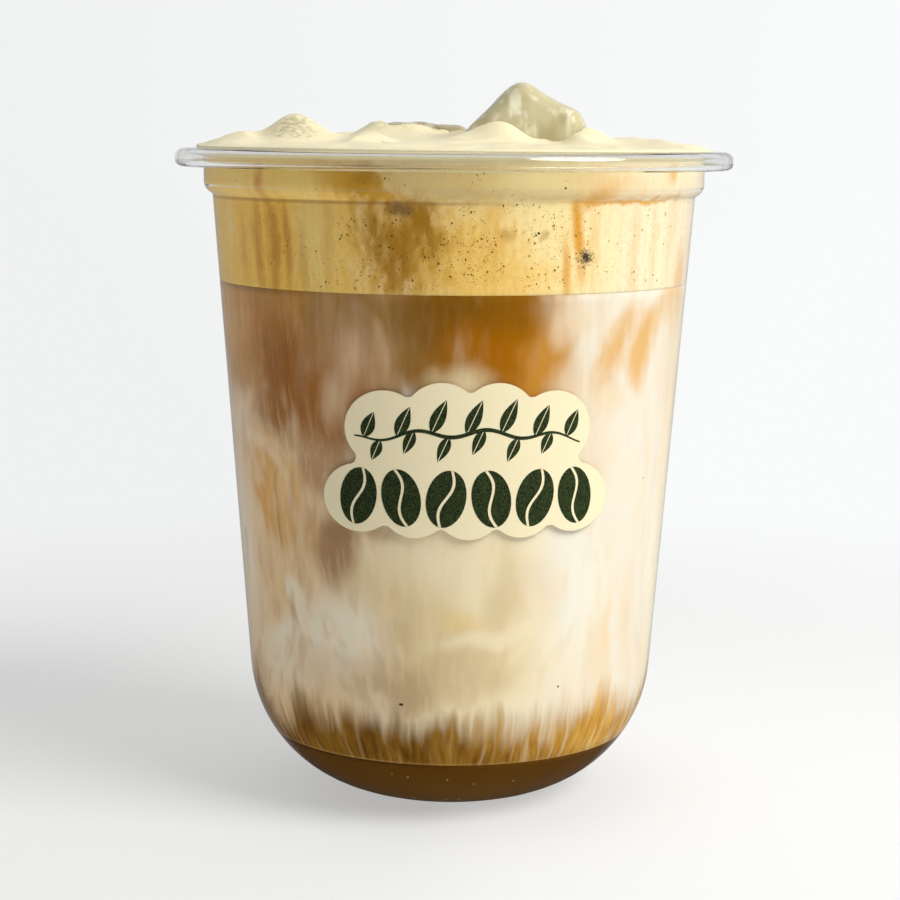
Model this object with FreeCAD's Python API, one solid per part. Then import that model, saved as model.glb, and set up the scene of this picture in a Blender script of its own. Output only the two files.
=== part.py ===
"""An iced banana latte in its clear takeaway cup, as separate closed solids, in millimetres.

The cup is a thin sheet with a rounded bottom, a stacking shoulder under the mouth and a rolled rim.
It holds dark syrup, marbled latte and a heaped banana cream with three ice cubes, and wears one
die-cut sticker. +Z is up, the origin is the middle of the foot, and the sticker faces -Y.
"""

import FreeCAD, Part
import math
import os

from FreeCAD import Rotation, Vector

# ---- The cup's outside ------------------------------------------------------------------------
HEIGHT = 111.0  # foot to the top of the rim
RIM_RADIUS = 47.5  # outer edge of the rolled rim, the common 95 mm lid size
WALL = 0.6  # sheet thickness, the same everywhere
FOOT_RADIUS = 11.2  # where the flat foot turns into the rounded bottom
WALL_DRAFT = 4.35  # degrees that the straight wall leans out
RIM_OVERHANG = 4.8  # how far the rim stands out past the neck, the upright band under it
NECK_DROP = 7.8  # top of the rim down to the shoulder
SHOULDER_STEP = 1.5  # how far the neck stands out past the wall below it
SHOULDER_BEND = 0.7  # bend radius of the sheet's middle at the shoulder's inner corner
SHOULDER_ROUND = 1.9  # and at its outer corner
SHOULDER_TURN = 58.0  # degrees that the sheet turns outwards at the shoulder

# ---- The rolled rim ----------------------------------------------------------------------------
LIP_BEND = 1.3  # bend radius of the sheet's middle where the neck turns out into the rim
ROLL_BEND = 1.15  # bend radius where the rim rolls down
ROLL_DROP = 3.0  # top of the rim to the underside of the roll
CURL_BEND = 0.75  # bend radius of the curl at the end of the roll
CURL_TURN = 150.0  # degrees that the curl turns back inwards

# ---- The recess under the foot ------------------------------------------------------------------
RECESS_RADIUS = 8.0  # outer edge of the recess, on the sheet's middle
RECESS_DEPTH = 0.9
RECESS_BEND = 0.8
RECESS_TURN = 35.0

# ---- The drink -----------------------------------------------------------------------------------
SYRUP_TOP = 11.4
CREAM_DEPTH = 22.1  # top of the rim down to the line between cream and latte
CREAM_SPILL = 1.2  # how far the cream lies out past the neck, on the rim
CREAM_EDGE = 0.35  # how high the cream stands above the rim at its edge
CREAM_DOME = 0.55  # how much higher the level cream is in the middle
HEAP_GRID = 31  # points each way of the heap's surface

# Mounds of the heap: (x and y in shares of the cream's reach, height, spread across x, spread across y)
MOUNDS = (
    (-0.625, -0.02, 4.7, 5.0, 6.5),  # over the left ice cube
    (-0.86, -0.10, 1.1, 3.6, 6.0),  # low swell at the far left
    (-0.33, -0.16, 1.7, 3.8, 5.5),  # ridge left of the middle cube
    (-0.16, 0.30, 2.9, 9.0, 8.5),  # around the middle cube
    (0.16, -0.36, 3.5, 5.5, 4.5),  # lobe in front of the cubes
    (0.49, -0.16, 2.2, 4.2, 5.5),  # collar at the right cube's foot
    (0.70, 0.06, 1.5, 6.0, 8.0),  # low swell at the right
    (-0.30, 0.66, 1.6, 8.0, 6.0),  # the far side's swells
    (0.30, 0.62, 1.9, 8.0, 6.0),
    (-0.68, 0.46, 1.1, 6.0, 6.0),
    (0.02, -0.68, 0.5, 16.0, 6.0),  # the near side, almost level
)

# ---- Ice ---------------------------------------------------------------------------------------------
ICE_DRAFT = 12.0  # degrees that each side of a moulded cube leans in towards its top
ICE_ROUND = 3.3
# (node, width, depth, height, middle's x and y in shares of the cream's reach, its depth under the
# rim's top, turns about X, Y and Z in degrees)
ICE_CUBES = (
    ("ice_right", 21.5, 19.0, 18.0, (0.28, -0.09), -0.7, (-8.0, 29.0, -10.0)),
    ("ice_middle", 22.0, 18.0, 13.0, (-0.135, 0.37), 2.3, (-5.0, 1.5, 8.0)),
    ("ice_left", 17.0, 16.0, 15.0, (-0.635, 0.0), 4.1, (-7.0, 41.0, 14.0)),
)

# ---- The sticker -----------------------------------------------------------------------------------
STICKER_THICKNESS = 0.2
STICKER_TURN = 4.3  # degrees round the cup from the front, towards +X
STICKER_Z = 62.2  # height of the sticker's middle
STICKER_CORNER = 1.2  # radius of the inner corners between scallops
# Rows of scallops, from the lowest: (count, pitch, radius, height, how much the row's middle arches up)
SCALLOP_ROWS = (
    (5, 8.6, 5.6, -5.9, -0.7),
    (4, 9.0, 6.1, 5.5, 1.6),
)


class Sheet:
    """A path of lines and arcs in the (r, z) plane, each tangent to the one before: a sheet's middle."""

    def __init__(self, r, z, heading):
        self.at = Vector(r, 0, z)
        self.heading = heading  # degrees, 0 outwards and 90 up
        self.steps = []  # ("line", start, end) or ("arc", centre, radius, start, turn)

    @staticmethod
    def along(degrees):
        return Vector(math.cos(math.radians(degrees)), 0, math.sin(math.radians(degrees)))

    def line(self, length):
        start = self.at
        self.at = start + self.along(self.heading) * length
        self.steps.append(("line", start, self.at, self.heading))
        return self

    def arc(self, turn, radius):
        """Turns left for a positive turn, right for a negative one."""
        side = math.copysign(1, turn)
        centre = self.at + self.along(self.heading + 90 * side) * radius
        self.steps.append(("arc", centre, radius, self.heading, turn))
        self.heading += turn
        self.at = centre - self.along(self.heading + 90 * side) * radius
        return self

    def side(self, offset, steps=None):
        """The path's edges, moved to the left of its heading by offset."""
        edges = []
        for step in self.steps[:steps]:
            if step[0] == "line":
                shift = self.along(step[3] + 90) * offset
                edges.append(Part.LineSegment(step[1] + shift, step[2] + shift).toShape())
                continue
            _, centre, radius, heading, turn = step
            side = math.copysign(1, turn)
            reach = radius - offset * side
            ends = [centre - self.along(heading + turn * part + 90 * side) * reach for part in (0, 0.5, 1)]
            edges.append(Part.Arc(*ends).toShape())
        return edges

    def end(self, offset, last=True):
        """Where the path moved by offset ends, or starts."""
        edge = self.side(offset)[-1 if last else 0]
        return edge.valueAt(edge.LastParameter if last else edge.FirstParameter)


def jog(sheet, turn, back, radius, back_radius, across):
    """Turns one way and back again, so that the sheet steps sideways by across on its heading's right."""
    axis = math.radians(sheet.heading + turn + back)
    right = Vector(math.sin(axis), 0, -math.cos(axis))
    trial = Sheet(sheet.at.x, sheet.at.z, sheet.heading).arc(turn, radius).arc(back, back_radius)
    left_over = across - (trial.at - sheet.at).dot(right)
    slope = abs(math.sin(math.radians(back)))
    sheet.arc(turn, radius).line(left_over / slope).arc(back, back_radius)


def neck_radius():
    return RIM_RADIUS - RIM_OVERHANG


def bottom_radius():
    """Outside radius of the rounded bottom that runs smoothly from the foot into the straight wall."""
    draft = math.radians(WALL_DRAFT)
    top_radius = neck_radius() - SHOULDER_STEP
    reach = math.cos(draft) * (top_radius - FOOT_RADIUS) - math.sin(draft) * (HEIGHT - NECK_DROP)
    return reach / (1 - math.sin(draft))


def cup_sheet():
    """The middle of the cup's sheet, from the axis to the end of the curl."""
    half = WALL / 2
    sheet = Sheet(0, half + RECESS_DEPTH, 0)
    sheet.line(RECESS_RADIUS - recess_run())
    jog(sheet, -RECESS_TURN, RECESS_TURN, RECESS_BEND, RECESS_BEND, RECESS_DEPTH)
    sheet.line(FOOT_RADIUS - sheet.at.x)
    sheet.arc(90 - WALL_DRAFT, bottom_radius() - half)
    sheet.line((HEIGHT - NECK_DROP - sheet.at.z) / math.cos(math.radians(WALL_DRAFT)))
    jog(sheet, WALL_DRAFT - SHOULDER_TURN, SHOULDER_TURN, SHOULDER_BEND, SHOULDER_ROUND,
        neck_radius() - half - sheet.at.x)
    sheet.line(HEIGHT - half - LIP_BEND - sheet.at.z)
    sheet.arc(-90, LIP_BEND)
    sheet.line(RIM_RADIUS - half - ROLL_BEND - sheet.at.x)
    sheet.arc(-90, ROLL_BEND)
    sheet.line(ROLL_DROP - WALL - ROLL_BEND - CURL_BEND)
    sheet.arc(-CURL_TURN, CURL_BEND)
    return sheet


def recess_run():
    """How far out the step down to the foot runs."""
    trial = Sheet(0, 0, 0)
    jog(trial, -RECESS_TURN, RECESS_TURN, RECESS_BEND, RECESS_BEND, RECESS_DEPTH)
    return trial.at.x


def turned(edges):
    """The solid that a closed outline in the (r, z) plane sweeps round the axis."""
    wire = Part.Wire(Part.sortEdges(edges)[0])
    solid = Part.Face(wire).revolve(Vector(0, 0, 0), Vector(0, 0, 1), 360)
    return solid if solid.ShapeType == "Solid" else Part.Solid(solid.Shells[0])


def segment(a, b):
    return Part.LineSegment(a, b).toShape()


def cup(sheet):
    """The whole sheet, closed by a rounded edge at the curl's end."""
    half = WALL / 2
    inner_end = sheet.end(half)
    outer_end = sheet.end(-half)
    tip = sheet.at + Sheet.along(sheet.heading) * half
    cap = Part.Arc(inner_end, tip, outer_end).toShape()
    axis = segment(sheet.end(-half, last=False), sheet.end(half, last=False))
    return turned(sheet.side(half) + [cap] + sheet.side(-half) + [axis])


def inside(sheet, ceiling):
    """All that the cup can hold, and the space over its lip, up to a ceiling."""
    steps = sheet.steps
    lip = max(i for i, step in enumerate(steps) if step[0] == "line" and abs(step[3]) < 1e-6)
    edges = sheet.side(WALL / 2, lip + 1)
    foot = edges[0].valueAt(edges[0].FirstParameter)
    rim = edges[-1].valueAt(edges[-1].LastParameter)
    top = Vector(rim.x, 0, ceiling)
    middle = Vector(0, 0, ceiling)
    return turned(edges + [segment(rim, top), segment(top, middle), segment(middle, foot)])


def slab(low, high):
    """A disc wider than the cup between two heights."""
    return Part.makeCylinder(2 * RIM_RADIUS, high - low, Vector(0, 0, low))


def cream_reach():
    return neck_radius() + CREAM_SPILL


def heap_height(x, y):
    """The cream's surface over the foot at (x, y): a flat dome with mounds on it."""
    reach = cream_reach()
    level = CREAM_EDGE + CREAM_DOME * (1 - (x * x + y * y) / reach**2)
    for share_x, share_y, height, across, along in MOUNDS:
        beside = (x - share_x * reach) / across
        behind = (y - share_y * reach) / along
        level += height * math.exp(-(beside**2) - behind**2)
    return HEIGHT + level


def under_heap(depth):
    """Everything from the heap's surface down by depth."""
    side = cream_reach() + 2 * WALL
    marks = [side * (2 * i / (HEAP_GRID - 1) - 1) for i in range(HEAP_GRID)]
    surface = Part.BSplineSurface()
    surface.interpolate([[Vector(x, y, heap_height(x, y)) for y in marks] for x in marks])
    return surface.toShape().extrude(Vector(0, 0, -depth))


def ice_cube(width, depth, height, shares, sunk, turns):
    """A moulded cube: four sides that lean in towards the top, and every edge melted round."""
    lean = 2 * height * math.tan(math.radians(ICE_DRAFT))

    def rectangle(w, d, z):
        corners = [Vector(sx * w / 2, sy * d / 2, z) for sx, sy in ((-1, -1), (1, -1), (1, 1), (-1, 1))]
        return Part.makePolygon(corners + corners[:1])

    bottom = rectangle(width, depth, -height / 2)
    top = rectangle(width - lean, depth - lean, height / 2)
    block = Part.makeLoft([bottom, top], True, True)
    block = block.makeFillet(ICE_ROUND, block.Edges)
    about_x, about_y, about_z = turns
    turn = Rotation(Vector(0, 0, 1), about_z) * Rotation(Vector(0, 1, 0), about_y)
    middle = Vector(shares[0] * cream_reach(), shares[1] * cream_reach(), HEIGHT - sunk)
    block.Placement = FreeCAD.Placement(middle, turn * Rotation(Vector(1, 0, 0), about_x))
    return block


def scallop_row(count, pitch, radius, height, arch):
    """One row's circles as (centre, radius), from -X to +X."""
    half = pitch * (count - 1) / 2
    spots = [pitch * i - half for i in range(count)]
    return [(Vector(x, 0, height + arch * (1 - (x / half) ** 2)), radius) for x in spots]


def sticker_outline():
    """The die-cut outline round the origin: scallops joined by small tangent arcs in the corners between."""
    front = Vector(0, -1, 0)
    low, high = (scallop_row(*row) for row in SCALLOP_ROWS)
    ring = low + high[::-1]
    edges, leaves, meets = [], [], []
    for (a, radius_a), (b, radius_b) in zip(ring, ring[1:] + ring[:1]):
        reach_a, reach_b = radius_a + STICKER_CORNER, radius_b + STICKER_CORNER
        run = b - a
        along = (reach_a**2 - reach_b**2 + run.Length**2) / (2 * run.Length)
        outward = run.cross(front).normalize() * math.sqrt(reach_a**2 - along**2)
        corner = Part.Circle(a + run * (along / run.Length) + outward, front, STICKER_CORNER)
        leaves.append(a + (corner.Center - a) * (radius_a / reach_a))
        meets.append(b + (corner.Center - b) * (radius_b / reach_b))
        edges.append(arc_between(corner, meets[-1], leaves[-1]))
    for (centre, radius), meet, leave in zip(ring, meets[-1:] + meets, leaves):
        edges.append(arc_between(Part.Circle(centre, front, radius), meet, leave))
    return Part.Wire(Part.sortEdges(edges)[0])


def arc_between(circle, start, end):
    return Part.ArcOfCircle(circle, circle.parameter(start), circle.parameter(end)).toShape()


def filled_wall(offset):
    """The straight-walled part of the cup filled in, out to the wall and offset more."""
    foot = bottom_radius()
    draft = math.tan(math.radians(WALL_DRAFT))
    top = HEIGHT - NECK_DROP
    top_radius = neck_radius() - SHOULDER_STEP + offset / math.cos(math.radians(WALL_DRAFT))
    return Part.makeCone(top_radius - draft * (top - foot), top_radius, top - foot, Vector(0, 0, foot))


def sticker():
    """The thin label on the wall: its outline pushed through a skin on the cup's wall."""
    skin = filled_wall(STICKER_THICKNESS).cut(filled_wall(0))
    punch = Part.Face(sticker_outline()).extrude(Vector(0, -2 * RIM_RADIUS, 0))
    punch.translate(Vector(0, 0, STICKER_Z))
    punch.rotate(Vector(0, 0, 0), Vector(0, 0, 1), STICKER_TURN)
    return skin.common(punch)


def build():
    """Every sub-part by its node name."""
    sheet = cup_sheet()
    cubes = {name: ice_cube(*sizes) for name, *sizes in ICE_CUBES}
    ceiling = HEIGHT + max(mound[2] for mound in MOUNDS) * 4
    room = inside(sheet, ceiling)
    latte_top = HEIGHT - CREAM_DEPTH
    cream = room.common(slab(latte_top, ceiling)).common(Part.makeCylinder(cream_reach(), ceiling))
    cream = cream.common(under_heap(2 * CREAM_DEPTH))
    for cube in cubes.values():
        cream = cream.cut(cube)
    return {
        "cup": cup(sheet),
        "syrup": room.common(slab(0, SYRUP_TOP)),
        "latte": room.common(slab(SYRUP_TOP, latte_top)),
        "cream": cream,
        **cubes,
        "sticker": sticker(),
    }


def main():
    os.makedirs("parts", exist_ok=True)
    for name, shape in build().items():
        solids = shape.Solids
        shape = solids[0] if len(solids) == 1 else Part.makeCompound(solids)
        shape.exportStep(f"parts/{name}.step")
        box = shape.BoundBox
        print(f"{name}: {len(solids)} solid, {shape.Volume / 1000:.2f} cm3, valid {shape.isValid()}, "
              f"z {box.ZMin:.2f} to {box.ZMax:.2f}, x {box.XMin:.2f} to {box.XMax:.2f}")


main()
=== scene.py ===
# %% [markdown]
# # Iced banana latte in a clear takeaway cup
# A round-bottomed clear cup holds dark syrup, marbled milk coffee and a heaped banana cream with
# three half-melted ice cubes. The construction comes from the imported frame, and this script gives
# it its finish. The sticker keeps its own mesh. The cup, the drinks, the cream and the ice are
# modelled again here, finer than a construction needs.

# %% the frame
import math
import random

import bmesh
import bpy
import numpy as np
from mathutils import Matrix, Vector, noise
from mathutils.bvhtree import BVHTree


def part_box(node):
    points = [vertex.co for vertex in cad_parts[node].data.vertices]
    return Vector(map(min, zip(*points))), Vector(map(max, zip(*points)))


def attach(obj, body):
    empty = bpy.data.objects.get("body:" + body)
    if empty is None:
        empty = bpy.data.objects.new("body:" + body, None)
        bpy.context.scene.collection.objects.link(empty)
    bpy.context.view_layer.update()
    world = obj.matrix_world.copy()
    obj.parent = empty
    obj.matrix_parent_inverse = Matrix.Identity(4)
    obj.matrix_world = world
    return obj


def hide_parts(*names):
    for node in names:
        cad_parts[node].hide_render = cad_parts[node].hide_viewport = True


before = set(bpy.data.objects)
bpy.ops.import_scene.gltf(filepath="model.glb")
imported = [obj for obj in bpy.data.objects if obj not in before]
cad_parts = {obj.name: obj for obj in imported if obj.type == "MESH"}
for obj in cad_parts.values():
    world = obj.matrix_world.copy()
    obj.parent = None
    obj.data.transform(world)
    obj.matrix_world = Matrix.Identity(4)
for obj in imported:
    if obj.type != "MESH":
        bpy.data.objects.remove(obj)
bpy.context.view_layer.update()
MM = 0.001
TAU = 2 * math.pi

# %% [markdown]
# ## The camera
# The drink is seen from just above its rim, from about 38 cm away, with a portrait lens. The
# camera comes first, because it decides how fine each detail has to be.

# %% camera
CAMERA_AWAY = 0.380
CAMERA_HEIGHT = 0.1141
CAMERA_ASIDE = -0.00028
PITCH_DOWN = math.radians(8.25)
ROLL = math.radians(0.5)
LENS_MM = 87.9

camera_data = bpy.data.cameras.new("portrait_camera")
camera_data.lens = LENS_MM
camera_data.sensor_width = 36.0
camera_data.clip_start = 0.01
camera = bpy.data.objects.new("portrait_camera", camera_data)
bpy.context.scene.collection.objects.link(camera)
camera.matrix_world = (
    Matrix.Translation((CAMERA_ASIDE, -CAMERA_AWAY, CAMERA_HEIGHT))
    @ Matrix.Rotation(math.pi / 2 - PITCH_DOWN, 4, "X")
    @ Matrix.Rotation(ROLL, 4, "Z")
)
bpy.context.scene.camera = camera
bpy.context.scene.view_settings.view_transform = "Standard"
print("camera:", [round(v, 4) for v in camera.location])

# %% [markdown]
# ## Two helpers for materials
# Colours are chosen as they look on a screen, as sRGB hex values, but a renderer reckons in
# linear light, so one function turns one into the other. Materials are node trees, and one
# function adds a node with its settings and links, so that a tree reads from top to bottom. The
# sockets of a Map Range node are, in order, the value, the range it comes from and the range
# that it goes to.


# %% colour and nodes
def linear(hex_colour, alpha=1.0):
    """An sRGB hex colour as the linear red, green, blue and alpha that a node wants."""
    shown = [int(hex_colour[i : i + 2], 16) / 255 for i in (1, 3, 5)]
    light = [v / 12.92 if v <= 0.04045 else ((v + 0.055) / 1.055) ** 2.4 for v in shown]
    return (*light, alpha)


def plug(tree, made, sockets):
    """Sets a node's sockets, listed in order or by name: each to a value, a hex colour, an
    output, or another node's first output."""
    for name, value in sockets.items() if isinstance(sockets, dict) else enumerate(sockets):
        if isinstance(value, str):
            value = linear(value)
        if isinstance(value, bpy.types.Node):
            value = value.outputs[0]
        if isinstance(value, bpy.types.NodeSocket):
            tree.links.new(value, made.inputs[name])
        else:
            made.inputs[name].default_value = value


def node(tree, kind, sockets=None, **settings):
    """Adds one shader node with its settings, values and links."""
    made = tree.nodes.new("ShaderNode" + kind)
    for name, value in settings.items():
        setattr(made, name, value)
    plug(tree, made, sockets or {})
    return made


def new_material(name):
    """A material, its tree and its principled shader."""
    material = bpy.data.materials.new(name)
    material.use_nodes = True
    return material, material.node_tree, material.node_tree.nodes["Principled BSDF"]


MIX_A, MIX_B, MIX_RESULT = 6, 7, 2  # the colour sockets of a Mix node
SMOOTH = {"interpolation_type": "SMOOTHSTEP"}  # for a Map Range node with soft ends


def blend_colours(tree, factor, under, over, **settings):
    """One colour laid over another by a factor."""
    sockets = {0: factor, MIX_A: under, MIX_B: over}
    return node(tree, "Mix", sockets, data_type="RGBA", **settings).outputs[MIX_RESULT]


# %% [markdown]
# ## The studio
# A product table is a white sheet with no edge in sight. One big soft light from the front
# right models the round of the cup and throws a wide soft shadow to the left. The room is
# bright behind and on the right, and dark behind the camera. A polarising filter on a real lens
# takes most of the shine off plastic, so mirrored rays see little of the paper and the room,
# but they do see what lies behind the cup, because a filter leaves a grazing shine alone.
# Far from the cup the paper glows as bright as the background, so no horizon shows.

# %% studio
TABLE_RADIUS = 6.0
TABLE_SPOKES = 96
GLOW_FROM = 0.11
GLOW_TO = 0.31
GLOW_NEAR = 0.50  # share of the glow under the cup, which keeps the shadow pale
PAPER = "#F1F2F2"
BACKGROUND = "#F5F6F6"
LEFT_LEVEL = 0.955
RIGHT_LEVEL = 1.045
MIRRORED = 0.08  # what the filter leaves of the paper and the room in mirrored rays
PAPER_TAKEN = 0.62  # what it takes of the paper behind the cup
ROOM_TAKEN = 0.05  # and of the room there, whose shine draws the rim's outline
KEY_FROM = Vector((0.84, -0.545, 0.84)).normalized()
KEY_AWAY = 0.85
KEY_SIZE = 0.55
KEY_WATTS = 7.4
ROOM_LEVEL = 0.46
ROOM_LEAN = (0.08, 0.42, 0.0)  # brighter to the back, and a little to the right


def mesh_object(name, vertices, faces, material, smooth=True):
    """A mesh object in the scene, from corners and faces."""
    mesh = bpy.data.meshes.new(name)
    mesh.from_pydata([tuple(v) for v in vertices], [], faces)
    mesh.update()
    mesh.polygons.foreach_set("use_smooth", [smooth] * len(mesh.polygons))
    mesh.materials.append(material)
    made = bpy.data.objects.new(name, mesh)
    bpy.context.scene.collection.objects.link(made)
    return made


def left_to_right(tree, direction):
    """How bright the backdrop is in a direction: a little dimmer to the left."""
    side = node(tree, "SeparateXYZ", [direction]).outputs["X"]
    return node(tree, "MapRange", [side, -0.2, 0.2, LEFT_LEVEL, RIGHT_LEVEL])


def filtered(tree, toward, taken_behind):
    """The share that the filter takes from a mirrored ray, which is another behind the cup."""
    path = node(tree, "LightPath")
    mirror = [path.outputs["Is Glossy Ray"], path.outputs["Is Reflection Ray"]]
    mirror = node(tree, "Math", mirror, operation="MULTIPLY")
    back = node(tree, "SeparateXYZ", [toward]).outputs["Y"]
    share = node(tree, "MapRange", [back, -0.1, 0.4, 1 - MIRRORED, taken_behind])
    return node(tree, "Math", [mirror, share], operation="MULTIPLY")


paper, tree, shader = new_material("matt_white_paper")
grain = node(tree, "TexNoise", {"Scale": 900.0, "Detail": 2.0})
fibres = node(tree, "Bump", {"Height": grain, "Strength": 0.05})
dull = {"Base Color": PAPER, "Roughness": 0.85, "Specular IOR Level": 0.2}
plug(tree, shader, {**dull, "Normal": fibres})
spot = node(tree, "TexCoord").outputs["Object"]
away = node(tree, "VectorMath", [spot], operation="LENGTH").outputs["Value"]
faded = node(tree, "MapRange", [away, GLOW_FROM, GLOW_TO, GLOW_NEAR], **SMOOTH)
direction = node(tree, "VectorMath", [spot], operation="NORMALIZE")
glow = node(tree, "Emission", {"Color": BACKGROUND, "Strength": left_to_right(tree, direction)})
both = node(tree, "MixShader", [faded, shader, glow])
unlit = node(tree, "Emission", {"Strength": 0.0})
seen_paper = node(tree, "MixShader", [filtered(tree, direction, PAPER_TAKEN), both, unlit])
plug(tree, tree.nodes["Material Output"], {"Surface": seen_paper})

rim = []
for spoke in range(TABLE_SPOKES):
    turn = TAU * spoke / TABLE_SPOKES
    rim.append((TABLE_RADIUS * math.cos(turn), TABLE_RADIUS * math.sin(turn), 0))
table = mesh_object("paper_table", rim, [tuple(range(TABLE_SPOKES))], paper, smooth=False)

key_data = bpy.data.lights.new("soft_key", "AREA")
key_data.shape = "DISK"
key_data.size = KEY_SIZE
key_data.energy = KEY_WATTS
key_data.color = linear("#FFFDF8")[:3]
key = bpy.data.objects.new("soft_key", key_data)
bpy.context.scene.collection.objects.link(key)
key.location = KEY_FROM * KEY_AWAY + Vector((0, 0, 0.06))
key.rotation_euler = KEY_FROM.to_track_quat("Z", "Y").to_euler()

room = bpy.data.worlds.new("pale_room")
room.use_nodes = True
tree = room.node_tree
aim = node(tree, "TexCoord").outputs["Generated"]
lean = node(tree, "VectorMath", [aim, ROOM_LEAN], operation="DOT_PRODUCT")
level = node(tree, "Math", [lean.outputs["Value"], ROOM_LEVEL], operation="ADD", use_clamp=True)
seen = node(tree, "LightPath").outputs["Is Camera Ray"]
mirrored = node(tree, "Mix", {0: filtered(tree, aim, ROOM_TAKEN), 2: level, 3: 0.0})
shown = node(tree, "Mix", {0: seen, 2: mirrored, 3: left_to_right(tree, aim)})
plug(tree, tree.nodes["Background"], {"Strength": shown, "Color": BACKGROUND})
bpy.context.scene.world = room
print("studio: key light", round(KEY_AWAY, 2), "m away,", KEY_WATTS, "W")

# %% [markdown]
# ## The cup
# Such cups are drawn from a sheet of clear polypropylene, 0.6 mm thick, and get a rolled rim.
# The eye knows the plastic from its rim, where the bent wall gathers grey and white lines, and
# from a faint shine on its side. Bent light shows every facet, so the section of the frame's
# own cup is cut out and turned again with many more steps. Lamps can't reach what stands
# behind refracting plastic in few samples, so for shadow rays and for light on its way between
# dull surfaces the wall is simply transparent.

# %% clear polypropylene
PLASTIC_IOR = 1.49
clear, tree, shader = new_material("clear_polypropylene")
place = node(tree, "TexCoord")
# Drawing the sheet into its mould leaves waves about 6 mm long and a few microns deep.
waves = node(tree, "TexNoise", {"Vector": place.outputs["Object"], "Scale": 160.0, "Detail": 1.0})
wavy = node(tree, "Bump", {"Height": waves, "Strength": 0.04, "Distance": MM})
polish = node(tree, "MapRange", [waves, 0.0, 1.0, 0.02, 0.06])
glassy = {"Base Color": "#FDFDFB", "IOR": PLASTIC_IOR, "Transmission Weight": 1.0}
plug(tree, shader, {**glassy, "Normal": wavy, "Roughness": polish})
path = node(tree, "LightPath")
unbent = node(
    tree, "Math", [path.outputs["Is Shadow Ray"], path.outputs["Is Diffuse Ray"]], operation="MAXIMUM"
)
through = node(tree, "BsdfTransparent", {"Color": "#F8F8F6"})
wall_shader = node(tree, "MixShader", [unbent, shader, through])
plug(tree, tree.nodes["Material Output"], {"Surface": wall_shader})

# %% the cup turned again from its own section
CUP_STEPS = 320
cup_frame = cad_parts["cup"]


def section(source):
    """The outline, in order, that a plane through the axis cuts from a turned solid."""
    cut = bmesh.new()
    cut.from_mesh(source.data)
    bmesh.ops.remove_doubles(cut, verts=cut.verts, dist=1e-6)
    found = bmesh.ops.bisect_plane(
        cut,
        geom=cut.verts[:] + cut.edges[:] + cut.faces[:],
        dist=1e-7,
        plane_co=(0, 0, 0),
        plane_no=(0, 1, 0),
    )["geom_cut"]
    edges = [e for e in found if isinstance(e, bmesh.types.BMEdge)]
    beside = {}
    for edge in edges:
        ends = [(round(v.co.x, 7), round(v.co.z, 7)) for v in edge.verts]
        if min(ends[0][0], ends[1][0]) < -1e-6 or ends[0] == ends[1]:
            continue
        beside.setdefault(ends[0], set()).add(ends[1])
        beside.setdefault(ends[1], set()).add(ends[0])
    cut.free()
    start = min(beside, key=lambda p: (p[0], p[1]))
    outline, seen_points = [start], {start}
    while True:
        onward = [p for p in beside[outline[-1]] if p not in seen_points]
        if not onward:
            return outline
        outline.append(min(onward, key=lambda p: math.dist(p, outline[-1])))
        seen_points.add(outline[-1])


outline = section(cup_frame)
print("cup: section of", len(outline), "points, from", outline[0], "to", outline[-1])

# %% [markdown]
# ## Where the drink meets the wall
# A drink wets the cup, so no air lies between them. Each layer is turned from the inside of the
# cup's own mesh, found with rays from its axis, and reaches a hair into the wall. That way a
# new wall or a new rim in the construction carries the drink with it.

# %% rays into the cup
INTO_WALL = 0.06 * MM
LATHE_STEPS = 300
cup_tree = BVHTree.FromObject(cup_frame, bpy.context.evaluated_depsgraph_get())


def inside_radius(height):
    """How far the inside of the cup is from its axis at a height."""
    hit = cup_tree.ray_cast(Vector((0, 0, height)), Vector((1, 0, 0)))[0]
    return hit.x


def inside_at(turn, heart):
    """Where a ray from a point on the axis, turned down from level, meets the inside."""
    aim = Vector((math.cos(turn), 0, -math.sin(turn)))
    hit = cup_tree.ray_cast(Vector((0, 0, heart)), aim)[0]
    return hit + aim * INTO_WALL


def turned(name, line, material, steps=LATHE_STEPS):
    """A closed body turned about the axis from a line of (radius, height), ends on the axis."""
    vertices = [(0, 0, line[0][1]), (0, 0, line[-1][1])]
    rings = line[1:-1]
    for radius, height in rings:
        for step in range(steps):
            turn = TAU * step / steps
            vertices.append((radius * math.cos(turn), radius * math.sin(turn), height))
    faces = []
    for step in range(steps):
        after = (step + 1) % steps
        faces.append((0, 2 + after, 2 + step))
        for ring in range(len(rings) - 1):
            low, high = 2 + ring * steps, 2 + (ring + 1) * steps
            faces.append((low + step, low + after, high + after, high + step))
        top = 2 + (len(rings) - 1) * steps
        faces.append((1, top + step, top + after))
    return mesh_object(name, vertices, faces, material)


cup = turned("clear_cup", outline, clear, CUP_STEPS)
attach(cup, "root")
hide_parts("cup")
print("cup:", len(cup.data.polygons), "faces in", clear.name)

syrup_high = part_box("syrup")[1]
latte_low, latte_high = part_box("latte")
cream_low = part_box("cream")[0]
print("inside radius at the syrup's top:", round(inside_radius(syrup_high.z) / MM, 2), "mm")
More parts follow.
